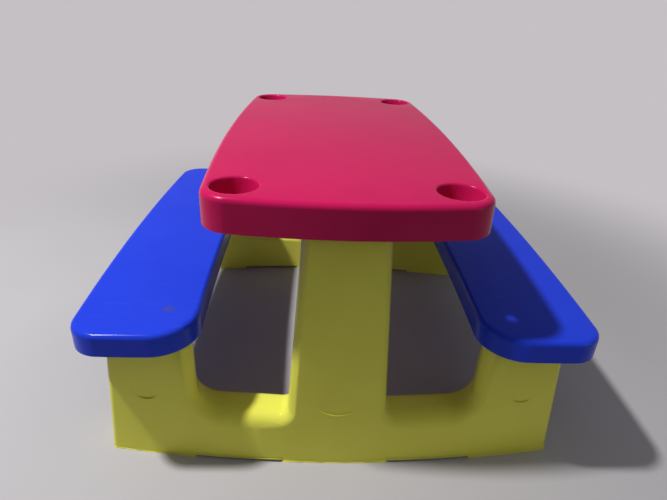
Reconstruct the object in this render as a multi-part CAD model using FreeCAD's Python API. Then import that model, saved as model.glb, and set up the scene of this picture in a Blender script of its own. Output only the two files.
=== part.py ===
import FreeCAD, Part
import math
import os

V = FreeCAD.Vector
UP = V(0, 0, 1)
HOME = V(0, 0, 0)

# Tabletop, a skirted tray with bowed sides and ends (millimetres)
table_height = 465.0
top_width = 411.2
top_length = 739.4
top_side_radius = 4054.0
top_end_radius = 1062.0
top_corner_radius = 45.0
top_edge_radius = 8.0
top_skirt = 48.0
top_wall = 3.2

# Cup wells moulded into the tabletop: tapered, with a drain hole in the middle of the floor
cup_side_gap = 56.3
cup_end_gap = 59.4
cup_mouth_radius = 32.2
cup_base_radius = 27.5
cup_drain_radius = 6.0
cup_depth = 38.0
cup_wall = 2.6
cup_lip_radius = 3.0

# Benches, skirted trays curved in plan, that overhang the side columns
bench_height = 261.4
bench_end_overhang = 8.7
bench_side_overhang = 52.8
bench_inner_radius = 6800.0
bench_outer_radius = 5350.0
bench_end_radius = 2500.0
bench_inner_corner = 64.0
bench_outer_corner = 46.0
bench_edge_radius = 7.2
bench_skirt = 35.8
bench_wall = 3.2

# Taper of the skirts, chamfer inside the rim and stiffening ribs under both kinds of tray
skirt_draft = 1.2
tray_chamfer = 4.0
rib_thickness = 2.4
cross_rib_count = 5
top_rib_depth = 20.0
top_rib_x = 92.0
bench_rib_depth = 15.0

# Leg frame, a hollow trident moulding bowed outwards in plan
top_end_overhang = 9.9
frame_bow_radius = 2330.0
frame_depth = 66.0
frame_lean = 1.0
frame_wall = 3.2
window_face_radius = 24.0
window_back_radius = 12.0
flank_edge_radius = 9.0
foot_span = 744.0
side_lean = 5.6
column_width = 178.2
column_taper = 3.3
column_draft = 8.0
beam_height = 97.0
beam_draft = 4.0
window_outer_x = 219.0
window_draft = 11.0
window_outer_corner = 39.0
window_inner_corner = 13.0

# Feet, with the beam raised between them and a thin rim round the bottom edge
centre_foot_width = 174.0
side_foot_set = 10.0
foot_relief = 5.0
foot_corner_radius = 6.0
rim_height = 2.4
rim_step = 1.6

# Scallops low on each column, their floors tilted so that they run out upwards
centre_scallop_radius = 38.0
centre_scallop_bottom = 106.0
side_scallop_radius = 19.0
side_scallop_bottom = 118.5
side_scallop_offset = 16.6
scallop_depth = 1.6
scallop_tilt = 2.0
scallop_wall_slope = 35.0

# Stiffening webs inside the hollow frame
web_thickness = 2.4
web_clear = 12.0

# Tenon at the head of each column and the socket collar under each tray
tenon_step = 9.0
tenon_clearance = 0.5
shoulder_drop = 3.5
collar_wall = 3.0
collar_lift = 8.0

# Screws that hold each tenon in its collar
screw_radius = 2.4
screw_length = 17.0
screw_head_radius = 4.6
screw_head_height = 2.6
screw_hole_clearance = 0.3
screw_pilot_clearance = 0.05
screw_pad_half = 6.0
screw_pad_height = 2.0
screw_boss_radius = 5.6
screw_boss_length = 11.0
top_screw_drop = 18.0
bench_screw_drop = 13.0

# A rounded edge is a fan of narrow strips, a chamfer is one; cutters run past the faces they cut
window_strip_count = 4
edge_strip_count = 3
lip_strip_count = 2
inner_strip_count = 2
chamfer_strip_count = 1
overlap = 2.0


def slope(degrees):
    return math.tan(math.radians(degrees))


# Places that follow from the sizes above
top_under = table_height - top_wall
bench_under = bench_height - bench_wall
top_shoulder = table_height - top_skirt - shoulder_drop
bench_shoulder = bench_height - bench_skirt - shoulder_drop
cup_x = top_width / 2 - cup_side_gap
cup_y = top_length / 2 - cup_end_gap
frame_face_y = top_length / 2 - top_end_overhang
bow_centre_y = frame_bow_radius - frame_face_y
reach = frame_face_y + frame_depth
window_middle_x = (column_width / 2 + window_outer_x) / 2
flank_at_bench_x = foot_span / 2 - slope(side_lean) * bench_height
side_column_x = (window_outer_x + flank_at_bench_x) / 2
side_scallop_x = side_column_x + side_scallop_offset
side_foot_inner_x = window_outer_x + side_foot_set
bench_inner_x = window_outer_x
bench_outer_x = flank_at_bench_x + bench_side_overhang
bench_length = 2 * (frame_face_y + bench_end_overhang)


def slab_box(x0, x1, y0, y1, z0, z1):
    return Part.makeBox(x1 - x0, y1 - y0, z1 - z0, V(x0, y0, z0))


def pair_box(side, x0, x1, y0, y1, z0, z1):
    """Box between two distances from the middle plane, on the side given by its sign."""
    ends = sorted((side * x0, side * x1))
    return slab_box(ends[0], ends[1], y0, y1, z0, z1)


def closed_polygon(points):
    return Part.makePolygon(points + points[:1])


def fused(shapes):
    whole = shapes[0]
    for shape in shapes[1:]:
        whole = whole.fuse(shape)
    return whole


def across_x(shape):
    """Mirror image on the other side of the table."""
    return shape.mirror(HOME, V(1, 0, 0))


def across_y(shape):
    """Mirror image at the other end of the table."""
    return shape.mirror(HOME, V(0, 1, 0))


def turned(shape):
    """The same piece at the other end, half a turn about the upright axis."""
    copy = shape.copy()
    copy.rotate(HOME, UP, 180)
    return copy


# Rounded edges
def quarter(radius, strips):
    """Points round a quarter circle: distance from the wall, distance from the face."""
    if radius == 0:
        return [(0.0, 0.0)]
    points = []
    for step in range(strips + 1):
        turn = math.radians(90.0 * step / strips)
        points.append((radius * (1 - math.sin(turn)), radius * (1 - math.cos(turn))))
    return points


def flare(radius, strips):
    """The same points for a cutter, the first strip run on past the face."""
    if radius == 0:
        return [(0.0, -overlap)]
    points = quarter(radius, strips)
    run = (points[0][0] - points[1][0]) / (points[1][1] - points[0][1])
    points[0] = (points[0][0] + overlap * run, -overlap)
    return points


def rounded_wire(points, radii):
    """Closed outline in the XZ plane; each corner may have a tangent arc."""
    count = len(points)
    corners = []
    for i in range(count):
        here = V(points[i][0], 0, points[i][1])
        before = V(points[i - 1][0], 0, points[i - 1][1])
        after = V(points[(i + 1) % count][0], 0, points[(i + 1) % count][1])
        if radii[i] == 0:
            corners.append((here, None, here))
            continue
        to_before = (before - here).normalize()
        to_after = (after - here).normalize()
        half = to_before.getAngle(to_after) / 2
        run = radii[i] / math.tan(half)
        bisector = (to_before + to_after).normalize()
        middle = here + bisector * (radii[i] / math.sin(half) - radii[i])
        corners.append((here + to_before * run, middle, here + to_after * run))
    edges = []
    for i in range(count):
        start, middle, end = corners[i]
        if middle is not None:
            edges.append(Part.Arc(start, middle, end).toShape())
        following = corners[(i + 1) % count][0]
        edges.append(Part.LineSegment(end, following).toShape())
    return Part.Wire(edges)


# Leg frame: a bowed, leaning slab with two windows and rounded edges
def face_radius(z, inset):
    return frame_bow_radius - inset - slope(frame_lean) * z


def back_radius(z, inset):
    return frame_bow_radius - frame_depth + inset + slope(frame_lean) * z


def bowed_y(x, radius):
    return bow_centre_y - math.sqrt(radius ** 2 - x ** 2)


def flank_x(z, inset):
    return foot_span / 2 - inset / math.cos(math.radians(side_lean)) - slope(side_lean) * z


def bowed_block(radius_at, inset, low, high):
    """Round block behind one bowed face; its seam is turned away from the frame."""
    foot = V(0, bow_centre_y, low)
    block = Part.makeCone(radius_at(low, inset), radius_at(high, inset), high - low, foot, UP)
    block.rotate(V(0, bow_centre_y, 0), UP, 45)
    return block


def window_outline(depth, grow, high):
    """The right-hand window seen square on, x from its middle line; it widens with depth."""
    outer = window_outer_x + slope(window_draft) * depth + grow - window_middle_x
    low = beam_height - slope(beam_draft) * depth - grow
    lean_in = grow / math.cos(math.radians(column_taper))
    base = column_width / 2 - slope(column_draft) * depth - lean_in - window_middle_x
    inner_low = base - slope(column_taper) * low
    inner_high = base - slope(column_taper) * high
    points = [(inner_high, high), (inner_low, low), (outer, low), (outer, high)]
    radii = [0, window_inner_corner + grow, window_outer_corner + grow, 0]
    return rounded_wire(points, radii)


def seated(wire, radius, tilt):
    """Turns an outline on to the mean plane of a bowed face over the window."""
    marks = (column_width / 2, window_middle_x, window_outer_x)
    depths = [bowed_y(x, radius) for x in marks]
    swing = math.degrees(math.atan2(depths[2] - depths[0], marks[2] - marks[0]))
    wire.rotate(HOME, V(1, 0, 0), tilt)
    wire.rotate(HOME, UP, swing)
    wire.translate(V(window_middle_x, sum(depths) / len(depths), 0))
    return wire


def window(inset, top_z, edges, strips):
    """Waste of the right-hand window, flared by two radii where it meets the front and back faces."""
    high = top_z + overlap
    wires = []
    for across, down in flare(edges[0], strips):
        wire = window_outline(inset + down, inset + across, high)
        wire.translate(V(0, inset + down, 0))
        wires.append(seated(wire, frame_bow_radius, -frame_lean))
    for across, down in reversed(flare(edges[1], strips)):
        wire = window_outline(frame_depth - inset - down, inset + across, high)
        wire.translate(V(0, -inset - down, 0))
        wires.append(seated(wire, frame_bow_radius - frame_depth, frame_lean))
    return Part.makeLoft(wires, True, True)


def flank(inset, floor_z, bench_z, edge, strips):
    """Waste outside the right-hand flank that rounds its two upright edges."""
    marks = flare(edge, strips)
    wires = []
    for z in (floor_z - overlap, bench_z + overlap):
        wall = flank_x(z, inset)
        points = []
        for across, down in marks:
            x = wall - across
            points.append(V(x, bowed_y(x, face_radius(z, inset)) + down, z))
        for across, down in reversed(marks):
            x = wall - across
            points.append(V(x, bowed_y(x, back_radius(z, inset)) - down, z))
        points.append(V(wall + frame_depth, points[-1].y + frame_depth, z))
        points.append(V(wall + frame_depth, points[0].y - frame_depth, z))
        wires.append(closed_polygon(points))
    return Part.makeLoft(wires, True, True)


def frame_body(inset, bench_z, top_z, floor_z, window_strips, flank_strips):
    """Solid trident between the two bowed faces, drawn in by the inset. Its edges are rounded by fans of
    strips, or left sharp where there are none."""
    half = [V(flank_x(z, inset), -reach, z) for z in (floor_z, top_z)]
    other = [V(-p.x, p.y, p.z) for p in reversed(half)]
    prism = Part.Face(closed_polygon(half + other)).extrude(V(0, reach, 0))
    low = floor_z - overlap
    high = top_z + overlap
    body = prism.common(bowed_block(face_radius, inset, low, high))
    body = body.cut(bowed_block(back_radius, inset, low, high))
    edges = (0, 0)
    if window_strips:
        edges = (window_face_radius - inset, window_back_radius - inset)
    wastes = [window(inset, top_z, edges, window_strips)]
    wastes.append(slab_box(window_middle_x, reach, -reach, 0, bench_z, high))
    if flank_strips:
        wastes.append(flank(inset, floor_z, bench_z, flank_edge_radius - inset, flank_strips))
    for waste in wastes:
        body = body.cut(waste).cut(across_x(waste))
    return body


def sharp_body(inset, bench_z, top_z):
    """The same trident with sharp edges, for the hidden tenons and their sockets."""
    return frame_body(inset, bench_z, top_z, 0, 0, 0)


def scallops():
    """Shallow round-bottomed recesses with sloping walls, deepest at their lower edge."""
    tilt = math.radians(scallop_tilt)
    height = frame_depth
    spread = height / slope(scallop_wall_slope)
    cutters = []
    spots = [(0, centre_scallop_radius, centre_scallop_bottom)]
    spots.append((-side_scallop_x, side_scallop_radius, side_scallop_bottom))
    spots.append((side_scallop_x, side_scallop_radius, side_scallop_bottom))
    for x, radius, bottom in spots:
        swing = math.asin(x / frame_bow_radius)
        outward = V(math.sin(swing), -math.cos(swing), 0)
        normal = outward * math.cos(tilt) - UP * math.sin(tilt)
        rise = outward * math.sin(tilt) + UP * math.cos(tilt)
        lowest = V(0, bow_centre_y, bottom) + outward * (face_radius(bottom, 0) - scallop_depth)
        cutters.append(Part.makeCone(radius, radius + spread, height, lowest + rise * radius, normal))
    return fused(cutters)


def foot_corner(side):
    """Waste outside the rounded bottom corner of a side foot."""
    edge = foot_span / 2 + rim_step
    inner = edge - foot_corner_radius
    block = pair_box(side, inner, edge + foot_corner_radius, -reach, 0, -overlap, foot_corner_radius)
    axis_start = V(side * inner, -reach, foot_corner_radius)
    return block.cut(Part.makeCylinder(foot_corner_radius, reach, axis_start, V(0, 1, 0)))


def leg_frame(top_site, bench_site):
    """One leg frame, standing at the front."""
    shell = frame_body(0, bench_shoulder, top_shoulder, 0, window_strip_count, edge_strip_count)
    shell = shell.fuse(sharp_body(tenon_step, bench_under, top_under))
    shell = shell.cut(scallops())

    # Rim round the bottom edge, stepping up with the beam between the feet
    bands = [slab_box(-reach, reach, -reach, 0, 0, rim_height)]
    reliefs = []
    for side in (-1, 1):
        ends = (side, centre_foot_width / 2, side_foot_inner_x, -reach, 0)
        bands.append(pair_box(*ends, foot_relief, foot_relief + rim_height))
        reliefs.append(pair_box(*ends, -overlap, foot_relief))
    rim = frame_body(-rim_step, bench_shoulder, top_shoulder, 0, window_strip_count, edge_strip_count)
    shell = shell.fuse(rim.common(fused(bands)))
    for waste in reliefs + [foot_corner(-1), foot_corner(1)]:
        shell = shell.cut(waste)

    # Hollow inside, open at the bottom, with upright webs between the faces
    hollow = frame_body(frame_wall, bench_shoulder - frame_wall, top_shoulder - frame_wall, -foot_relief,
                        inner_strip_count, inner_strip_count)
    heads = sharp_body(tenon_step + frame_wall, bench_under - frame_wall, top_under - frame_wall)
    hollow = hollow.fuse(heads)
    for x in (-side_column_x, -window_middle_x, 0, window_middle_x, side_column_x):
        half = web_thickness / 2
        hollow = hollow.cut(slab_box(x - half, x + half, -reach, 0, web_clear, table_height))
    shell = shell.cut(hollow)

    # Bosses behind the tenon walls take the screws
    left_site = V(-bench_site.x, bench_site.y, bench_site.z)
    wall_line = screw_pad_height + collar_wall + tenon_clearance
    for site in (top_site, bench_site, left_site):
        start = site - V(0, wall_line + frame_wall / 2, 0)
        shell = shell.fuse(Part.makeCylinder(screw_boss_radius, screw_boss_length, start, V(0, -1, 0)))
        pilot = screw_radius + screw_pilot_clearance
        shell = shell.cut(Part.makeCylinder(pilot, screw_length + overlap, site, V(0, -1, 0)))
    return shell.removeSplitter()


# Screws
def screw_site(x, z):
    """Middle of the seat of a screw head, on the pad of a front collar."""
    inset = tenon_step - tenon_clearance - collar_wall
    return V(x, bowed_y(x, back_radius(z, inset)) + screw_pad_height, z)


def screw(site):
    """Flat-headed screw driven towards -Y."""
    head = Part.makeCylinder(screw_head_radius, screw_head_height, site, V(0, 1, 0))
    return head.fuse(Part.makeCylinder(screw_radius, screw_length, site, V(0, -1, 0)))


# Trays: arcs all round in plan, tapered skirt, rounded corners and rim
def meeting(first, first_radius, second, second_radius, towards):
    """Point at given distances from two centres, on the side named by towards."""
    gap = second - first
    axis = gap * (1 / gap.Length)
    along = (gap.Length ** 2 + first_radius ** 2 - second_radius ** 2) / (2 * gap.Length)
    rise = math.sqrt(first_radius ** 2 - along ** 2)
    sideways = V(-axis.y, axis.x, 0) * rise
    base = first + axis * along
    return max((base + sideways, base - sideways), key=lambda spot: spot.dot(towards))


def plan_wire(plan, inset, z):
    """Outline at one height. A plan holds the middle x, the sides and the corner radii in turn;
    a side is its heading, its distance from the middle and its radius, negative where hollow."""
    middle, sides, corner_radii = plan
    hubs = []
    for heading, distance, radius in sides:
        outward = V(math.cos(math.radians(heading)), math.sin(math.radians(heading)), 0)
        hubs.append((V(middle, 0, z) + outward * (distance - radius), outward, radius))
    corners = []
    for i, rounding in enumerate(corner_radii):
        hub, outward, radius = hubs[i]
        next_hub, next_outward, next_radius = hubs[(i + 1) % len(hubs)]
        towards = outward + next_outward
        centre = meeting(hub, abs(radius - rounding), next_hub, abs(next_radius - rounding), towards)
        start = hub + (centre - hub).normalize() * abs(radius - inset)
        end = next_hub + (centre - next_hub).normalize() * abs(next_radius - inset)
        bulge = centre + (start + end - centre * 2).normalize() * (rounding - inset)
        corners.append((start, bulge, end))
    edges = []
    for i, (hub, outward, radius) in enumerate(hubs):
        start, bulge, end = corners[i]
        crest = hub + outward * (radius - inset)
        edges.append(Part.Arc(corners[i - 1][2], crest, start).toBSpline().toShape())
        edges.append(Part.Arc(start, bulge, end).toBSpline().toShape())
    return Part.Wire(edges)


def tray_block(plan, inset, z0, z1, top_z, rim, strips):
    """Solid block of a tray's plan, tapered upwards, with its top edge rounded or chamfered."""
    levels = [(0.0, z0)]
    for across, down in reversed(quarter(rim, strips)):
        levels.append((across, z1 - down))
    wires = [plan_wire(plan, inset - slope(skirt_draft) * (top_z - z) + across, z) for across, z in levels]
    return Part.makeLoft(wires, True, True)


def ribbed_tray(plan, rib_boxes, top_z, skirt, wall, rim):
    """Hollow tray, open below, with ribs under its deck."""
    low = top_z - skirt
    block = tray_block(plan, 0, low, top_z, top_z, rim, edge_strip_count)
    hollow = tray_block(plan, wall, low - overlap, top_z - wall, top_z, tray_chamfer, chamfer_strip_count)
    return block.cut(hollow).fuse(fused(rib_boxes).common(block))


def with_collars(tray, walls, sockets, site):
    """Adds a socket collar and a screw pad at both ends of a tray, then clears sockets and holes."""
    length = screw_pad_height + collar_wall
    half = screw_pad_half
    pad = slab_box(site.x - half, site.x + half, site.y - length, site.y, site.z - half, site.z + half)
    adds = walls.fuse(pad)
    start = site + V(0, overlap, 0)
    radius = screw_radius + screw_hole_clearance
    cuts = sockets.fuse(Part.makeCylinder(radius, length + 2 * overlap, start, V(0, -1, 0)))
    tray = tray.fuse(adds).fuse(across_y(adds))
    return tray.cut(cuts).cut(across_y(cuts))


def ring(spot, z, radius):
    return Part.Wire(Part.Circle(V(spot.x, spot.y, z), UP, radius).toBSpline().toShape())


def cup_radius(z):
    """Radius of the tapered wall of a cup well."""
    return cup_mouth_radius - (cup_mouth_radius - cup_base_radius) * (table_height - z) / cup_depth


def cup_sleeve(spot):
    """Solid outside of a cup well, from under its floor up into the deck."""
    levels = (table_height - cup_depth - cup_wall, table_height - top_wall / 2)
    return Part.makeLoft([ring(spot, z, cup_radius(z) + cup_wall) for z in levels], True, True)


def cup_space(spot):
    """Turned space of a cup well: the drain hole in its floor, the tapered wall and the rounded lip."""
    floor = table_height - cup_depth
    low = floor - cup_wall - overlap
    outline = [(0, low), (cup_drain_radius, low), (cup_drain_radius, floor), (cup_base_radius, floor)]
    for across, down in reversed(flare(cup_lip_radius, lip_strip_count)):
        z = table_height - down
        outline.append((cup_radius(z) + across, z))
    outline.append((0, table_height + overlap))
    space = Part.Face(closed_polygon([V(radius, 0, z) for radius, z in outline])).revolve(HOME, UP, 360)
    space.translate(spot)
    return space


def cross_ribs(x0, x1, rib_low, rib_high, span):
    """Ribs across a tray, evenly spaced along it with half a pitch left at each end of the span."""
    pitch = span / cross_rib_count
    half = rib_thickness / 2
    ribs = []
    for step in range(cross_rib_count):
        y = (step + 0.5) * pitch - span / 2
        ribs.append(slab_box(x0, x1, y - half, y + half, rib_low, rib_high))
    return ribs


def tabletop(site, collar_body, sockets):
    plan = (0, [(0, top_width / 2, top_side_radius), (90, top_length / 2, top_end_radius),
                (180, top_width / 2, top_side_radius), (270, top_length / 2, top_end_radius)],
            [top_corner_radius] * 4)
    rib_low = top_under - top_rib_depth
    rib_high = top_under + top_wall / 2
    half = rib_thickness / 2
    ribs = []
    for x in (-top_rib_x, top_rib_x):
        ribs.append(slab_box(x - half, x + half, -top_length, top_length, rib_low, rib_high))
    ribs = ribs + cross_ribs(-top_width, top_width, rib_low, rib_high, -2 * site.y)
    tray = ribbed_tray(plan, ribs, table_height, top_skirt, top_wall, top_edge_radius)
    low = table_height - top_skirt + collar_lift
    zone = slab_box(-top_width / 2, top_width / 2, -reach, 0, low, table_height)
    tray = with_collars(tray, collar_body.common(zone), sockets.common(zone), site)
    for x in (-cup_x, cup_x):
        for y in (-cup_y, cup_y):
            spot = V(x, y, 0)
            tray = tray.fuse(cup_sleeve(spot)).cut(cup_space(spot))
    return tray.removeSplitter()


def right_bench(site, collar_body, sockets):
    middle = (bench_inner_x + bench_outer_x) / 2
    breadth = bench_outer_x - bench_inner_x
    plan = (middle, [(0, breadth / 2, bench_outer_radius), (90, bench_length / 2, bench_end_radius),
                     (180, breadth / 2, -bench_inner_radius), (270, bench_length / 2, bench_end_radius)],
            [bench_outer_corner, bench_inner_corner, bench_inner_corner, bench_outer_corner])
    rib_low = bench_under - bench_rib_depth
    rib_high = bench_under + bench_wall / 2
    half = rib_thickness / 2
    ribs = [slab_box(middle - half, middle + half, -bench_length, bench_length, rib_low, rib_high)]
    ribs = ribs + cross_ribs(middle - breadth, middle + breadth, rib_low, rib_high, -2 * site.y)
    tray = ribbed_tray(plan, ribs, bench_height, bench_skirt, bench_wall, bench_edge_radius)
    low = bench_height - bench_skirt + collar_lift
    zone = slab_box(column_width / 2, bench_outer_x, -reach, 0, low, bench_height)
    return with_collars(tray, collar_body.common(zone), sockets.common(zone), site).removeSplitter()


def main():
    os.makedirs("parts", exist_ok=True)
    top_site = screw_site(0, top_under - top_screw_drop)
    bench_site = screw_site(side_column_x, bench_under - bench_screw_drop)
    fit = tenon_step - tenon_clearance
    sockets = sharp_body(fit, bench_under, top_under)
    collar_body = sharp_body(fit - collar_wall, bench_under + bench_wall / 2, top_under + top_wall / 2)
    frame = leg_frame(top_site, bench_site)
    bench = right_bench(bench_site, collar_body, sockets)
    top_screw = screw(top_site)
    bench_screw = screw(bench_site)
    bench_screws = Part.makeCompound([bench_screw, across_y(bench_screw)])
    nodes = {
        "tabletop": tabletop(top_site, collar_body, sockets),
        "right_bench": bench,
        "left_bench": turned(bench),
        "front_leg_frame": frame,
        "rear_leg_frame": turned(frame),
        "tabletop_screws": Part.makeCompound([top_screw, turned(top_screw)]),
        "right_bench_screws": bench_screws,
        "left_bench_screws": turned(bench_screws),
    }
    for name, shape in nodes.items():
        print(name, shape.isValid(), len(shape.Solids), round(shape.Volume / 1000, 1), shape.BoundBox)
        shape.exportStep("parts/" + name + ".step")


main()
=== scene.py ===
import math

import bmesh
import bpy
import numpy as np
from mathutils import Matrix, Vector
from mathutils.bvhtree import BVHTree


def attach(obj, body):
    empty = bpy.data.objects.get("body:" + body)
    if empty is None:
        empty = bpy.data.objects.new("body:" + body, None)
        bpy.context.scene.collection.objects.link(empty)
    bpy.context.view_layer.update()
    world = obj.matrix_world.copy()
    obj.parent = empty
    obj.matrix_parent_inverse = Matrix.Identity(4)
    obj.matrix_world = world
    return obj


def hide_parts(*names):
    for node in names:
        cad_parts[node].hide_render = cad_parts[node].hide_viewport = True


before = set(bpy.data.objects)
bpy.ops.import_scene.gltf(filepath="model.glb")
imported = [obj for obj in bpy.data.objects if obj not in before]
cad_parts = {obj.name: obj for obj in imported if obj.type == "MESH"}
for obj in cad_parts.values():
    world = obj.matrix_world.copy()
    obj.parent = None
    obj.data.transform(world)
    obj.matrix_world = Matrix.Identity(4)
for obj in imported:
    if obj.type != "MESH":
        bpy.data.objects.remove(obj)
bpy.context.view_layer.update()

bl_info = {
    "name": "Kids Table",
    "version": (1, 0, 0),
    "blender": (4, 5, 0),
    "location": "3D View > Sidebar > Kids Table",
    "description": "Finishes a moulded picnic table for small children and sets its stage",
    "category": "Object",
}

MM = 0.001
BODY = "root"

# Width of the picture in pixels and of the camera's sensor in millimetres
PICTURE_WIDTH = 667
SENSOR_WIDTH = 36.0

# Vertices closer than this belong together once a moulding's loose triangles are joined
JOIN_DISTANCE = 0.002 * MM

# Edges that bend more than this stay crisp; the strips of a rounded edge bend less
CRISP_ANGLE = math.radians(32)

# Ways in which the scuffs run
SCUFF_TURNS = (math.radians(24), math.radians(-63))

# Layers of finer noise in a pattern, and in one that stays soft
DETAIL = 3.0
SOFT_DETAIL = 2.0

# Parts of a noise's range that are drawn out: into an even drift, worn areas, scuffs and a smudge
EVEN_SPREAD = (0.35, 0.65)
WORN_SPREAD = (0.48, 0.66)
SCUFF_SPREAD = (0.60, 0.74)
SMUDGE_SPREAD = (0.20, 0.55)

# How far upwards a surface faces where scuffs begin to show, and where they show in full
LEVEL_SPREAD = (0.6, 0.95)

POLYPROPYLENE_IOR = 1.49

# Sockets of the colour mixing node, which has one set of inputs for each kind of data
MIX_FACTOR = 0
MIX_FIRST = 6
MIX_SECOND = 7
MIX_RESULT = 2


def linear_colour(code):
    """Linear colour of an sRGB hex code: v / 12.92 near black, else ((v + 0.055) / 1.055)^2.4."""
    values = [int(code[i:i + 2], 16) / 255 for i in (1, 3, 5)]
    return tuple(v / 12.92 if v <= 0.04045 else ((v + 0.055) / 1.055) ** 2.4 for v in values)


# Settings that a user would change
def colour_setting(name, description, code):
    return bpy.props.FloatVectorProperty(name=name, description=description, subtype="COLOR", size=4,
                                         min=0, max=1, default=(*linear_colour(code), 1.0))


def length_setting(name, description, millimetres):
    return bpy.props.FloatProperty(name=name, description=description, unit="LENGTH", min=0, precision=5,
                                   default=millimetres * MM)


def share_setting(name, description, share):
    return bpy.props.FloatProperty(name=name, description=description, subtype="FACTOR", min=0, max=1,
                                   default=share)


def angle_setting(name, description, degrees):
    return bpy.props.FloatProperty(name=name, description=description, subtype="ANGLE",
                                   default=math.radians(degrees))


def place_setting(name, description, place):
    return bpy.props.FloatVectorProperty(name=name, description=description, subtype="TRANSLATION",
                                         unit="LENGTH", default=place)


def power_setting(name, description, watts):
    return bpy.props.FloatProperty(name=name, description=description, unit="POWER", min=0, default=watts)


class KIDSTABLE_PG_plastic(bpy.types.PropertyGroup):
    """Colours and surface of the moulded plastic."""

    red: colour_setting("Red", "Colour of the tabletop", "#C61858")
    red_deep: colour_setting("Deep Red", "Tabletop where its pigment is densest", "#C21655")
    blue: colour_setting("Blue", "Colour of the benches", "#233FD2")
    blue_deep: colour_setting("Deep Blue", "Benches where their pigment is densest", "#213CCE")
    lime: colour_setting("Lime", "Colour of the leg frames", "#E6E45C")
    lime_deep: colour_setting("Deep Lime", "Leg frames where their pigment is densest", "#E3E157")
    scuff: colour_setting("Scuff", "Colour of the fine scuffs of use", "#D8D0D2")
    smudge: colour_setting("Smudge", "Colour of the smudge on a seat", "#4A4A4E")
    patch: length_setting("Pigment Patch", "Width of the soft patches in the colour", 110)
    ripple: length_setting("Ripple", "Width of the slow ripples left by cooling", 70)
    ripple_height: length_setting("Ripple Height", "Height of the slow ripples", 0.08)
    grain: length_setting("Grain", "Width of the grain of the mould", 2.2)
    grain_height: length_setting("Grain Height", "Height of the grain of the mould", 0.008)
    worn_area: length_setting("Worn Area", "Width of the areas that are scuffed", 160)
    scuff_length: length_setting("Scuff Length", "Length of the scuffs", 45)
    scuff_width: length_setting("Scuff Width", "Width of the scuffs", 2.4)
    scuff_strength: share_setting("Scuff Strength", "How far a scuff hides the colour", 0.025)
    scuff_dulling: share_setting("Scuff Dulling", "How much a scuff adds to the roughness", 0.05)
    smudge_place: place_setting("Smudge Place", "Where the smudge lies", (-0.258, -0.301, 0.265))
    smudge_width: length_setting("Smudge Width", "Width of the smudge", 30)
    smudge_grain: length_setting("Smudge Grain", "Width of the patches in the smudge", 8)
    smudge_strength: share_setting("Smudge Strength", "How far the smudge hides the colour", 0.7)
    bead_width: share_setting("Bead Width", "Width of a scallop's bead, as a share of its radius", 0.13)
    bead_height: share_setting("Bead Height", "Height of a scallop's bead, as a share of its radius", 0.02)
    bead_reach: angle_setting("Bead Reach", "Turn from the middle of a bead to its end", 53)
    rough_low: share_setting("Gloss", "Roughness where the plastic is glossiest", 0.18)
    rough_high: share_setting("Satin", "Roughness where the plastic is dullest", 0.25)
    specular: share_setting("Specular", "Strength of the gloss; half is that of a clean surface", 0.12)


class KIDSTABLE_PG_screws(bpy.types.PropertyGroup):
    """Form and colour of the screws."""

    pitch: length_setting("Thread Pitch", "Distance from one turn of the thread to the next", 1.8)
    thread_depth: length_setting("Thread Depth", "Height of the thread above the core", 0.7)
    point_length: length_setting("Point Length", "Length of the tapered point", 4.0)
    recess_width: length_setting("Recess Width", "Width of each slot of the cross recess", 1.3)
    recess_reach: length_setting("Recess Reach", "Radius of the cross recess", 2.7)
    recess_depth: length_setting("Recess Depth", "Depth of the cross recess", 1.5)
    cloud: length_setting("Cloud", "Width of the clouds in the plating", 1.5)
    zinc: colour_setting("Zinc", "Colour of the zinc plating", "#BFC2C6")
    zinc_dull: colour_setting("Dull Zinc", "Colour of the plating where it has dulled", "#A3A6A8")
    rough_low: share_setting("Bright Plating", "Roughness where the plating is bright", 0.28)
    rough_high: share_setting("Dull Plating", "Roughness where the plating has dulled", 0.45)


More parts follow.
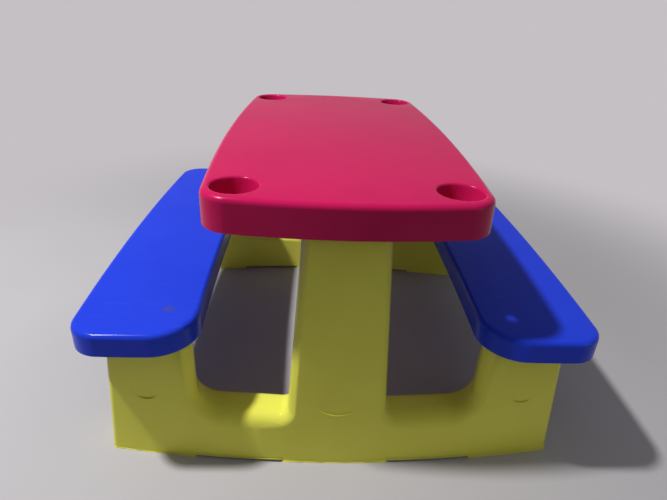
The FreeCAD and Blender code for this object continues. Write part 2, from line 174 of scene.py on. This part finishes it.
class KIDSTABLE_PG_stage(bpy.types.PropertyGroup):
    """Floor, light and camera."""

    floor_radius: length_setting("Floor Radius", "Radius of the floor", 25000)
    floor_cloud: length_setting("Floor Cloud", "Width of the faint clouds in the floor", 600)
    floor: colour_setting("Floor", "Colour of the floor", "#B3B0B2")
    floor_worn: colour_setting("Worn Floor", "Colour of the floor's fainter patches", "#AFACAE")
    floor_dim: colour_setting("Far Floor", "Colour of the light that the far floor throws back", "#303032")
    floor_rough: share_setting("Floor Roughness", "Roughness of the floor", 0.8)
    floor_specular: share_setting("Floor Specular", "Strength of the floor's gloss", 0.2)
    floor_near: length_setting("Floor Near", "Distance at which the floor starts to pale", 650)
    floor_far: length_setting("Floor Far", "Distance at which the floor is as pale as the backdrop", 1700)
    backdrop: colour_setting("Backdrop", "Colour beyond the floor, at its edge", "#C4C0C4")
    backdrop_high: colour_setting("High Backdrop", "Colour beyond the floor, overhead", "#7C7A7E")
    ambient: colour_setting("Low Ambient", "Light that comes from near the floor", "#1E1E20")
    ambient_high: colour_setting("High Ambient", "Light that comes from overhead", "#9A9A9F")
    key_power: power_setting("Key Power", "Power of the main lamp", 117)
    key_size: length_setting("Key Size", "Diameter of the main lamp, which softens shadows", 230)
    key_place: place_setting("Key Place", "Where the main lamp hangs", (-1.57, -0.33, 2.93))
    key_aim: place_setting("Key Aim", "Where the main lamp points", (-1.57, -0.33, 0.0))
    fill_power: power_setting("Fill Power", "Power of the wide soft lamp", 1.2)
    fill_size: length_setting("Fill Size", "Diameter of the wide soft lamp", 800)
    fill_place: place_setting("Fill Place", "Where the wide soft lamp hangs", (1.3, -1.0, 0.5))
    fill_aim: place_setting("Fill Aim", "Where the wide soft lamp points", (0.0, 0.0, 0.25))
    camera_place: place_setting("Camera Place", "Where the camera stands", (-0.0491, -0.9041, 0.6826))
    camera_yaw: angle_setting("Camera Yaw", "Turn of the camera to the left", -3.145)
    camera_pitch: angle_setting("Camera Pitch", "Tilt of the camera downwards", 27.519)
    camera_roll: angle_setting("Camera Roll", "Roll of the camera", 2.895)
    focal_pixels: bpy.props.FloatProperty(
        name="Focal Length", description="Focal length in pixels of the picture", subtype="PIXEL",
        default=480.25)


# Materials
def add_node(tree, kind, inputs=None, **settings):
    """Adds a node with its settings; an input is linked where it is given a socket, or else set."""
    node = tree.nodes.new(kind)
    for name, value in settings.items():
        setattr(node, name, value)
    for name, value in (inputs or {}).items():
        if isinstance(value, bpy.types.NodeSocket):
            tree.links.new(value, node.inputs[name])
        else:
            node.inputs[name].default_value = value
    return node


def new_material(name):
    """Material with a principled shader, and the place on the piece that its patterns read."""
    material = bpy.data.materials.new(name)
    material.use_nodes = True
    tree = material.node_tree
    tree.nodes.clear()
    shader = add_node(tree, "ShaderNodeBsdfPrincipled")
    add_node(tree, "ShaderNodeOutputMaterial", {"Surface": shader.outputs["BSDF"]})
    place = add_node(tree, "ShaderNodeTexCoord").outputs["Object"]
    return material, tree, shader, place


def patches(tree, place, width, spread, detail=DETAIL):
    """Soft patches of about the given width: noise, with the spread of its range drawn out to 0..1."""
    grain = add_node(tree, "ShaderNodeTexNoise", {"Vector": place, "Scale": 1 / width, "Detail": detail})
    low, high = spread
    drawn = {"Value": grain.outputs["Fac"], "From Min": low, "From Max": high}
    return add_node(tree, "ShaderNodeMapRange", drawn).outputs["Result"]


def scuff_lines(tree, place, plastic, turn):
    """Sparse fine lines that run one way: patches squeezed across that way."""
    along = 1 / plastic.scuff_length
    across = 1 / plastic.scuff_width
    squeeze = {"Vector": place, "Rotation": (0.0, 0.0, turn), "Scale": (along, across, along)}
    lines = add_node(tree, "ShaderNodeMapping", squeeze).outputs["Vector"]
    return patches(tree, lines, 1.0, SCUFF_SPREAD)


def level_parts(tree):
    """Share from 0 on steep surfaces to 1 on those that are nearly level and face upwards."""
    normal = add_node(tree, "ShaderNodeNewGeometry").outputs["Normal"]
    upward = add_node(tree, "ShaderNodeSeparateXYZ", {"Vector": normal}).outputs["Z"]
    low, high = LEVEL_SPREAD
    share = add_node(tree, "ShaderNodeMapRange", {"Value": upward, "From Min": low, "From Max": high})
    return share.outputs["Result"]


def scuffed_parts(tree, place, plastic):
    """Share from 0 on clean plastic to 1 on a scuff. Scuffs lie in worn areas of the level parts, where
    things are put down and pushed about."""
    level = level_parts(tree)
    worn = patches(tree, place, plastic.worn_area, WORN_SPREAD)
    first, second = [scuff_lines(tree, place, plastic, turn) for turn in SCUFF_TURNS]
    lines = add_node(tree, "ShaderNodeMath", {0: first, 1: second}, operation="MAXIMUM").outputs["Value"]
    scuffed = add_node(tree, "ShaderNodeMath", {0: lines, 1: worn}, operation="MULTIPLY").outputs["Value"]
    return add_node(tree, "ShaderNodeMath", {0: scuffed, 1: level}, operation="MULTIPLY").outputs["Value"]


def smudged_parts(tree, place, plastic):
    """Share from 0 on clean plastic to 1 in the one soft, uneven smudge, densest in its middle."""
    apart = add_node(tree, "ShaderNodeVectorMath", {0: place, 1: plastic.smudge_place},
                     operation="DISTANCE")
    spot = add_node(tree, "ShaderNodeMapRange", {"Value": apart.outputs["Value"],
                                                 "From Min": plastic.smudge_width / 2, "From Max": 0.0},
                    interpolation_type="SMOOTHSTEP").outputs["Result"]
    uneven = patches(tree, place, plastic.smudge_grain, SMUDGE_SPREAD)
    return add_node(tree, "ShaderNodeMath", {0: spot, 1: uneven}, operation="MULTIPLY").outputs["Value"]


def moulded_polypropylene(name, colour, deep, plastic):
    """Injection-moulded polypropylene, coloured through: a satin gloss that ripples slightly where the
    wall shrank as it cooled, pigment that drifts a little, faint scuffs and a smudge."""
    material, tree, shader, place = new_material(name)

    # Pigment drifts softly from patch to patch
    drift = patches(tree, place, plastic.patch, EVEN_SPREAD)
    pigment = add_node(tree, "ShaderNodeMix", {MIX_FACTOR: drift, MIX_FIRST: deep, MIX_SECOND: colour},
                       data_type="RGBA")

    # Scuffs pale the colour, and the smudge greys it
    wear = scuffed_parts(tree, place, plastic)
    paling = add_node(tree, "ShaderNodeMath", {0: wear, 1: plastic.scuff_strength}, operation="MULTIPLY")
    scuffs = add_node(tree, "ShaderNodeMix", {MIX_FACTOR: paling.outputs["Value"],
                                              MIX_FIRST: pigment.outputs[MIX_RESULT],
                                              MIX_SECOND: plastic.scuff}, data_type="RGBA")
    smudged = smudged_parts(tree, place, plastic)
    greying = add_node(tree, "ShaderNodeMath", {0: smudged, 1: plastic.smudge_strength},
                       operation="MULTIPLY")
    tone = add_node(tree, "ShaderNodeMix", {MIX_FACTOR: greying.outputs["Value"],
                                            MIX_FIRST: scuffs.outputs[MIX_RESULT],
                                            MIX_SECOND: plastic.smudge}, data_type="RGBA")
    tree.links.new(tone.outputs[MIX_RESULT], shader.inputs["Base Color"])

    # Gloss follows the ripples of the wall and is lower where it is scuffed
    ripple = patches(tree, place, plastic.ripple, EVEN_SPREAD, SOFT_DETAIL)
    satin = add_node(tree, "ShaderNodeMapRange", {"Value": ripple, "To Min": plastic.rough_low,
                                                  "To Max": plastic.rough_high}).outputs["Result"]
    dulled = add_node(tree, "ShaderNodeMath", {0: wear, 1: plastic.scuff_dulling, 2: satin},
                      operation="MULTIPLY_ADD")
    tree.links.new(dulled.outputs["Value"], shader.inputs["Roughness"])

    # Slow ripples of the cooled wall, then the grain of the mould, coarser than life so that it shows
    waves = add_node(tree, "ShaderNodeBump", {"Height": ripple, "Distance": plastic.ripple_height})
    grain = patches(tree, place, plastic.grain, EVEN_SPREAD, SOFT_DETAIL)
    fine = add_node(tree, "ShaderNodeBump", {"Height": grain, "Distance": plastic.grain_height,
                                             "Normal": waves.outputs["Normal"]})
    tree.links.new(fine.outputs["Normal"], shader.inputs["Normal"])
    shader.inputs["IOR"].default_value = POLYPROPYLENE_IOR
    shader.inputs["Specular IOR Level"].default_value = plastic.specular
    return material


def zinc_plated_steel(name, screws):
    """Zinc-plated steel: a cool grey metal with soft reflections, cloudy where the plating has dulled."""
    material, tree, shader, place = new_material(name)
    cloud = patches(tree, place, screws.cloud, EVEN_SPREAD)
    plating = add_node(tree, "ShaderNodeMix", {MIX_FACTOR: cloud, MIX_FIRST: screws.zinc_dull,
                                               MIX_SECOND: screws.zinc}, data_type="RGBA")
    tree.links.new(plating.outputs[MIX_RESULT], shader.inputs["Base Color"])
    sheen = add_node(tree, "ShaderNodeMapRange", {"Value": cloud, "To Min": screws.rough_high,
                                                  "To Max": screws.rough_low})
    tree.links.new(sheen.outputs["Result"], shader.inputs["Roughness"])
    shader.inputs["Metallic"].default_value = 1.0
    return material


def seen_rays(tree):
    """Share that is 1 for what the camera sees, in reflections and through glass too, and 0 for the light
    that falls on the object."""
    path = add_node(tree, "ShaderNodeLightPath").outputs
    mirror = add_node(tree, "ShaderNodeMath", {0: path["Is Glossy Ray"], 1: path["Is Transmission Ray"]},
                      operation="MAXIMUM").outputs["Value"]
    return add_node(tree, "ShaderNodeMath", {0: path["Is Camera Ray"], 1: mirror},
                    operation="MAXIMUM").outputs["Value"]


def matt_floor(name, stage):
    """Matt mineral floor: pale grey with faint clouds. Far from the table it is seen as pale as the
    backdrop but throws back less light, and from below it lets the camera through."""
    material, tree, shader, place = new_material(name)
    cloud = patches(tree, place, stage.floor_cloud, EVEN_SPREAD)
    tone = add_node(tree, "ShaderNodeMix", {MIX_FACTOR: cloud, MIX_FIRST: stage.floor_worn,
                                            MIX_SECOND: stage.floor}, data_type="RGBA")
    away = add_node(tree, "ShaderNodeVectorMath", {0: place}, operation="LENGTH").outputs["Value"]
    far = add_node(tree, "ShaderNodeMapRange", {"Value": away, "From Min": stage.floor_near,
                                                "From Max": stage.floor_far},
                   interpolation_type="SMOOTHSTEP").outputs["Result"]
    seen = seen_rays(tree)
    paling = add_node(tree, "ShaderNodeMath", {0: far, 1: seen}, operation="MULTIPLY").outputs["Value"]
    dimming = add_node(tree, "ShaderNodeMath", {0: far, 1: paling}, operation="SUBTRACT").outputs["Value"]
    dimmed = add_node(tree, "ShaderNodeMix", {MIX_FACTOR: dimming, MIX_FIRST: tone.outputs[MIX_RESULT],
                                              MIX_SECOND: stage.floor_dim}, data_type="RGBA")
    tree.links.new(dimmed.outputs[MIX_RESULT], shader.inputs["Base Color"])
    shader.inputs["Roughness"].default_value = stage.floor_rough
    shader.inputs["Specular IOR Level"].default_value = stage.floor_specular
    pale = add_node(tree, "ShaderNodeEmission", {"Color": stage.backdrop}).outputs["Emission"]
    above = add_node(tree, "ShaderNodeMixShader", {0: paling, 1: shader.outputs["BSDF"], 2: pale})
    below = add_node(tree, "ShaderNodeNewGeometry").outputs["Backfacing"]
    clear = add_node(tree, "ShaderNodeBsdfTransparent").outputs["BSDF"]
    either = add_node(tree, "ShaderNodeMixShader", {0: below, 1: above.outputs["Shader"], 2: clear})
    tree.links.new(either.outputs["Shader"], tree.nodes["Material Output"].inputs["Surface"])
    return material


# Pieces
def shown(mesh, name, material):
    """Object at the origin with one material, in the scene."""
    mesh.materials.append(material)
    piece = bpy.data.objects.new(name, mesh)
    bpy.context.scene.collection.objects.link(piece)
    return piece


def add_moulding(node, material):
    """Copy of a moulding with its loose triangles joined: rounded edges and bowed walls shade smoothly,
    and edges sharper than the crisp angle stay crisp."""
    shape = bmesh.new()
    shape.from_mesh(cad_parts[node].data)
    bmesh.ops.remove_doubles(shape, verts=shape.verts, dist=JOIN_DISTANCE)
    for face in shape.faces:
        face.smooth = True
        face.material_index = 0
    mesh = bpy.data.meshes.new(node + "_moulding")
    shape.to_mesh(mesh)
    shape.free()
    mesh.set_sharp_from_angle(angle=CRISP_ANGLE)
    piece = shown(mesh, node + "_moulding", material)
    even = piece.modifiers.new("even shading", "WEIGHTED_NORMAL")
    even.mode = "FACE_AREA"
    even.keep_sharp = True
    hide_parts(node)
    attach(piece, BODY)


def grid_faces(rows, columns):
    """Quads of a grid that closes on itself across its columns, as rows of four vertex numbers."""
    row, column = np.meshgrid(np.arange(rows - 1), np.arange(columns), indexing="ij")
    here = row * columns + column
    beside = row * columns + (column + 1) % columns
    return np.stack([here, beside, beside + columns, here + columns], axis=-1).reshape(-1, 4)


def node_points(node):
    """Vertices of a node as an array."""
    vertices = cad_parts[node].data.vertices
    points = np.empty(3 * len(vertices), np.float32)
    vertices.foreach_get("co", points)
    return points.reshape(-1, 3).astype(float)


def joined_mesh(name, points, faces):
    """Mesh with its meeting points joined, its faces outwards and its shading smooth."""
    mesh = bpy.data.meshes.new(name)
    mesh.from_pydata(points, [], faces)
    shape = bmesh.new()
    shape.from_mesh(mesh)
    bmesh.ops.remove_doubles(shape, verts=shape.verts, dist=JOIN_DISTANCE)
    bmesh.ops.recalc_face_normals(shape, faces=shape.faces)
    for face in shape.faces:
        face.smooth = True
    shape.to_mesh(mesh)
    shape.free()
    return mesh


# Lower lips of a leg frame's scallops in millimetres: middle across, lowest height, radius
SCALLOP_LIPS = ((-299.3, 116.3, 21.2), (0.0, 103.8, 40.2), (299.3, 116.3, 21.2))

# Rows along a bead, points round it, and how far below the lip the frame's face is plain
BEAD_ROWS = 41
BEAD_POINTS = 12
BEAD_CLEAR = 3.0 * MM


def bead_surface(lip, end, face, plastic):
    """Points of the bead on the lip of a scallop on a grid, rows along it and columns round it. With the
    turn a along the lip and t round the bead, and c = cos(pi a / (2 reach)):
    r = radius (1 + width / 2 c cos t), x = middle + r sin a, z = lowest + radius - r cos a, and y stands
    off the face of the frame by radius height c sin t."""
    middle, lowest, radius = [size * MM for size in lip]
    a = np.linspace(-plastic.bead_reach, plastic.bead_reach, BEAD_ROWS)[:, None]
    t = np.linspace(0, 2 * np.pi, BEAD_POINTS, endpoint=False)[None, :]
    c = np.cos(np.pi * a / (2 * plastic.bead_reach))
    r = radius * (1 + plastic.bead_width / 2 * c * np.cos(t))
    clear = radius + BEAD_CLEAR
    stand = []
    for turn in a[:, 0]:
        start = Vector((middle + clear * math.sin(turn), end, lowest + radius - clear * math.cos(turn)))
        stand.append(face.ray_cast(start, Vector((0, -end, 0)))[0].y)
    y = np.array(stand)[:, None] + end * radius * plastic.bead_height * c * np.sin(t)
    return np.stack([middle + r * np.sin(a), y, lowest + radius - r * np.cos(a)], axis=-1).reshape(-1, 3)


def add_beads(node, end, material, plastic):
    """Fine beads along the lower lips of a leg frame's scallops, where they catch the light. The end is -1
    for the frame at the front of the table and 1 for the one at the rear."""
    sides = [list(side.vertices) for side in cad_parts[node].data.polygons]
    face = BVHTree.FromPolygons(node_points(node).tolist(), sides)
    quads = grid_faces(BEAD_ROWS, BEAD_POINTS)
    points = [bead_surface(lip, end, face, plastic) for lip in SCALLOP_LIPS]
    faces = [quads + i * BEAD_ROWS * BEAD_POINTS for i in range(len(points))]
    mesh = joined_mesh(node + "_beads", np.concatenate(points), np.concatenate(faces))
    piece = shown(mesh, node + "_beads", material)
    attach(piece, BODY)


def eased(values, start, end):
    """0 before start, 1 after end and 3t^2 - 2t^3 between."""
    t = np.clip((values - start) / (end - start), 0, 1)
    return t * t * (3 - 2 * t)


# Rows of a screw's grid over the dome, side and seat of its head and along its shank, and points round it
DOME_ROWS = 22
SIDE_ROWS = 6
SEAT_ROWS = 4
SHANK_ROWS = 110
ROUND_POINTS = 64

# Share of the head's height that its dome takes up
DOME_SHARE = 0.45

# Shares of a slot's width and of the recess's reach over which its walls slope, and how blunt the point is
RECESS_WALL = (0.4, 0.6)
RECESS_END = 0.75
POINT_POWER = 0.7


def screw_surface(head_radius, head_height, radius, length, screws):
    """Points of a pan-head screw on a grid, rows from the middle of the head to the point and columns
    round the axis. Each point has a distance t along the axis from the seat and a radius r:
    the dome is t = -height (1 - dome (r / R)^2), sunk by the recess where either of two crossed slots
    reaches; the shank is r = core + depth (2 |frac(t / pitch - angle / turn) - 1/2|)^2, with a thread
    that grows over its first turn, and is drawn in to nothing along the point. Returns arrays of t, x
    and y."""
    angle = np.linspace(0, 2 * np.pi, ROUND_POINTS, endpoint=False)[None, :]
    flat = np.ones_like(angle)

    # Head: dome with the cross recess, straight side, seat
    dome = np.linspace(0, 1, DOME_ROWS)[:, None] * head_radius
    dome_r = dome * flat
    across = np.minimum(np.abs(dome_r * np.cos(angle)), np.abs(dome_r * np.sin(angle)))
    low, high = RECESS_WALL
    slot = 1 - eased(across, low * screws.recess_width, high * screws.recess_width)
    inside = 1 - eased(dome_r, RECESS_END * screws.recess_reach, screws.recess_reach)
    sunk = screws.recess_depth * slot * inside
    dome_t = sunk - head_height * (1 - DOME_SHARE * (dome_r / head_radius) ** 2)
    down = np.linspace(0, 1, SIDE_ROWS)[1:, None]
    side_t = -head_height * (1 - DOME_SHARE) * (1 - down) * flat
    side_r = head_radius * np.ones_like(side_t)
    seat_r = (head_radius + (radius - head_radius) * np.linspace(0, 1, SEAT_ROWS)[1:, None]) * flat
    seat_t = np.zeros_like(seat_r)

    # Shank: core with one thread, drawn in to the point
    shank_t = length * np.linspace(0, 1, SHANK_ROWS)[1:, None] * flat
    phase = np.mod(shank_t / screws.pitch - angle / (2 * np.pi), 1.0)
    ridge = (2 * np.abs(phase - 0.5)) ** 2 * eased(shank_t, 0, screws.pitch)
    taper = np.clip((length - shank_t) / screws.point_length, 0, 1) ** POINT_POWER
    shank_r = (radius - screws.thread_depth * (1 - ridge)) * taper
    t = np.concatenate([dome_t, side_t, seat_t, shank_t])
    r = np.concatenate([dome_r, side_r, seat_r, shank_r])
    return t, r * np.cos(angle), r * np.sin(angle)


def add_screws(node, material, screws):
    """Pair of screws, one at each end of the table, in the places of a node's plain ones: both lie along
    the table with their points outwards."""
    points = node_points(node)
    middle = (points.min(0) + points.max(0)) / 2
    offset = points - middle
    away = np.hypot(offset[:, 0], offset[:, 2])
    out = np.abs(offset[:, 1])
    tip = out.max()
    radius = away[out > tip - JOIN_DISTANCE].max()
    seat = out[away > radius + JOIN_DISTANCE].max()
    head_height = seat - out.min()
    t, x, y = screw_surface(away.max(), head_height, radius, tip - seat, screws)
    faces = grid_faces(*t.shape)
    vertices = []
    for end in (-1, 1):
        place = np.stack([middle[0] - end * x, middle[1] + end * (seat + t), middle[2] + y], axis=-1)
        vertices.append(place.reshape(-1, 3))
    faces = np.concatenate([faces, faces + t.size])
    mesh = joined_mesh(node + "_threaded", np.concatenate(vertices), faces)
    mesh.set_sharp_from_angle(angle=CRISP_ANGLE)
    piece = shown(mesh, node + "_threaded", material)
    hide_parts(node)
    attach(piece, BODY)


# Stage

# Rings of the floor and points round each
FLOOR_RINGS = 24
FLOOR_POINTS = 96

# Rises, as shares of straight up, over which the light grows stronger and the backdrop grows darker
AMBIENT_SPREAD = (0.1, 1.0)
BACKDROP_SPREAD = (0.02, 0.22)


def add_floor(stage):
    """Level disc of rings at z = 0, whose radius grows as the square of the ring's number."""
    ring = (np.linspace(0, 1, FLOOR_RINGS) ** 2 * stage.floor_radius)[:, None]
    angle = np.linspace(0, 2 * np.pi, FLOOR_POINTS, endpoint=False)[None, :]
    level = np.zeros((FLOOR_RINGS, FLOOR_POINTS))
    points = np.stack([ring * np.cos(angle), ring * np.sin(angle), level], axis=-1)
    mesh = joined_mesh("floor", points.reshape(-1, 3), grid_faces(FLOOR_RINGS, FLOOR_POINTS))
    if mesh.polygons[0].normal.z < 0:
        mesh.flip_normals()
    floor = shown(mesh, "floor", matt_floor("matt mineral floor", stage))


def add_lamp(name, power, size, place, aim):
    """Round soft lamp that points at a place."""
    lamp = bpy.data.lights.new(name, "AREA")
    lamp.shape = "DISK"
    lamp.size = size
    lamp.energy = power
    holder = bpy.data.objects.new(name, lamp)
    holder.location = place
    holder.rotation_euler = (Vector(aim) - Vector(place)).to_track_quat("-Z", "Y").to_euler()
    bpy.context.scene.collection.objects.link(holder)


def add_world(stage):
    """Light from above that fades towards the floor, and for the camera and in reflections a backdrop,
    pale at the edge of the floor and darker overhead."""
    world = bpy.data.worlds.new("studio")
    world.use_nodes = True
    tree = world.node_tree
    tree.nodes.clear()
    way = add_node(tree, "ShaderNodeTexCoord").outputs["Generated"]
    height = add_node(tree, "ShaderNodeSeparateXYZ", {"Vector": way}).outputs["Z"]
    low, high = AMBIENT_SPREAD
    rise = add_node(tree, "ShaderNodeMapRange", {"Value": height, "From Min": low, "From Max": high})
    ambient = add_node(tree, "ShaderNodeMix", {MIX_FACTOR: rise.outputs["Result"], MIX_FIRST: stage.ambient,
                                               MIX_SECOND: stage.ambient_high}, data_type="RGBA")
    low, high = BACKDROP_SPREAD
    climb = add_node(tree, "ShaderNodeMapRange", {"Value": height, "From Min": low, "From Max": high})
    sweep = add_node(tree, "ShaderNodeMix", {MIX_FACTOR: climb.outputs["Result"], MIX_FIRST: stage.backdrop,
                                             MIX_SECOND: stage.backdrop_high}, data_type="RGBA")
    colour = add_node(tree, "ShaderNodeMix", {MIX_FACTOR: seen_rays(tree),
                                              MIX_FIRST: ambient.outputs[MIX_RESULT],
                                              MIX_SECOND: sweep.outputs[MIX_RESULT]}, data_type="RGBA")
    light = add_node(tree, "ShaderNodeBackground", {"Color": colour.outputs[MIX_RESULT]})
    add_node(tree, "ShaderNodeOutputWorld", {"Surface": light.outputs["Background"]})
    bpy.context.scene.world = world


def add_camera(stage):
    """Camera that looks along yaw, then down by the pitch, then rolls about its view."""
    up = Vector((0, 0, 1))
    ahead = Vector((-math.sin(stage.camera_yaw), math.cos(stage.camera_yaw), 0))
    right = Vector((math.cos(stage.camera_yaw), math.sin(stage.camera_yaw), 0))
    view = ahead * math.cos(stage.camera_pitch) - up * math.sin(stage.camera_pitch)
    rise = up * math.cos(stage.camera_pitch) + ahead * math.sin(stage.camera_pitch)
    across = right * math.cos(stage.camera_roll) + rise * math.sin(stage.camera_roll)
    upright = rise * math.cos(stage.camera_roll) - right * math.sin(stage.camera_roll)
    lens = bpy.data.cameras.new("camera")
    lens.sensor_width = SENSOR_WIDTH
    lens.lens = SENSOR_WIDTH * stage.focal_pixels / PICTURE_WIDTH
    camera = bpy.data.objects.new("camera", lens)
    turn = Matrix((across, upright, -view)).transposed().to_4x4()
    camera.matrix_world = Matrix.Translation(stage.camera_place) @ turn
    bpy.context.scene.collection.objects.link(camera)
    bpy.context.scene.camera = camera


# Operators
class KIDSTABLE_OT_tabletop(bpy.types.Operator):
    """Add the red tabletop"""

    bl_idname = "kids_table.add_tabletop"
    bl_label = "Add Tabletop"

    def execute(self, context):
        plastic = context.scene.kids_table_plastic
        red = moulded_polypropylene("red moulded polypropylene", plastic.red, plastic.red_deep, plastic)
        add_moulding("tabletop", red)
        return {"FINISHED"}


class KIDSTABLE_OT_benches(bpy.types.Operator):
    """Add the two blue benches"""

    bl_idname = "kids_table.add_benches"
    bl_label = "Add Benches"

    def execute(self, context):
        plastic = context.scene.kids_table_plastic
        blue = moulded_polypropylene("blue moulded polypropylene", plastic.blue, plastic.blue_deep, plastic)
        for node in ("left_bench", "right_bench"):
            add_moulding(node, blue)
        return {"FINISHED"}


class KIDSTABLE_OT_leg_frames(bpy.types.Operator):
    """Add the two lime leg frames"""

    bl_idname = "kids_table.add_leg_frames"
    bl_label = "Add Leg Frames"

    def execute(self, context):
        plastic = context.scene.kids_table_plastic
        lime = moulded_polypropylene("lime moulded polypropylene", plastic.lime, plastic.lime_deep, plastic)
        for node, end in (("front_leg_frame", -1), ("rear_leg_frame", 1)):
            add_moulding(node, lime)
            add_beads(node, end, lime, plastic)
        return {"FINISHED"}


class KIDSTABLE_OT_screws(bpy.types.Operator):
    """Add the screws that hold the leg frames in the tabletop and benches"""

    bl_idname = "kids_table.add_screws"
    bl_label = "Add Screws"

    def execute(self, context):
        screws = context.scene.kids_table_screws
        steel = zinc_plated_steel("zinc-plated steel", screws)
        for node in ("tabletop_screws", "left_bench_screws", "right_bench_screws"):
            add_screws(node, steel, screws)
        return {"FINISHED"}


class KIDSTABLE_OT_stage(bpy.types.Operator):
    """Set the floor, the light and the camera"""

    bl_idname = "kids_table.set_stage"
    bl_label = "Set Stage"

    def execute(self, context):
        stage = context.scene.kids_table_stage
        add_floor(stage)
        add_lamp("key lamp", stage.key_power, stage.key_size, stage.key_place, stage.key_aim)
        add_lamp("fill lamp", stage.fill_power, stage.fill_size, stage.fill_place, stage.fill_aim)
        add_world(stage)
        add_camera(stage)
        context.scene.view_settings.view_transform = "Standard"
        return {"FINISHED"}


class KIDSTABLE_PT_sidebar(bpy.types.Panel):
    """Steps that finish the table"""

    bl_idname = "KIDSTABLE_PT_sidebar"
    bl_label = "Kids Table"
    bl_space_type = "VIEW_3D"
    bl_region_type = "UI"
    bl_category = "Kids Table"

    def draw(self, context):
        for step in STEPS:
            self.layout.operator(step.bl_idname)


SETTINGS = {
    "kids_table_plastic": KIDSTABLE_PG_plastic,
    "kids_table_screws": KIDSTABLE_PG_screws,
    "kids_table_stage": KIDSTABLE_PG_stage,
}
STEPS = (KIDSTABLE_OT_tabletop, KIDSTABLE_OT_benches, KIDSTABLE_OT_leg_frames, KIDSTABLE_OT_screws,
         KIDSTABLE_OT_stage)


def register():
    for group in (*SETTINGS.values(), *STEPS, KIDSTABLE_PT_sidebar):
        bpy.utils.register_class(group)
    for name, group in SETTINGS.items():
        setattr(bpy.types.Scene, name, bpy.props.PointerProperty(type=group))


def unregister():
    for name in SETTINGS:
        delattr(bpy.types.Scene, name)
    for group in (KIDSTABLE_PT_sidebar, *reversed(STEPS), *reversed(SETTINGS.values())):
        bpy.utils.unregister_class(group)


def main():
    register()
    bpy.ops.kids_table.add_tabletop()
    bpy.ops.kids_table.add_benches()
    bpy.ops.kids_table.add_leg_frames()
    bpy.ops.kids_table.add_screws()
    bpy.ops.kids_table.set_stage()


if __name__ == "__main__":
    main()
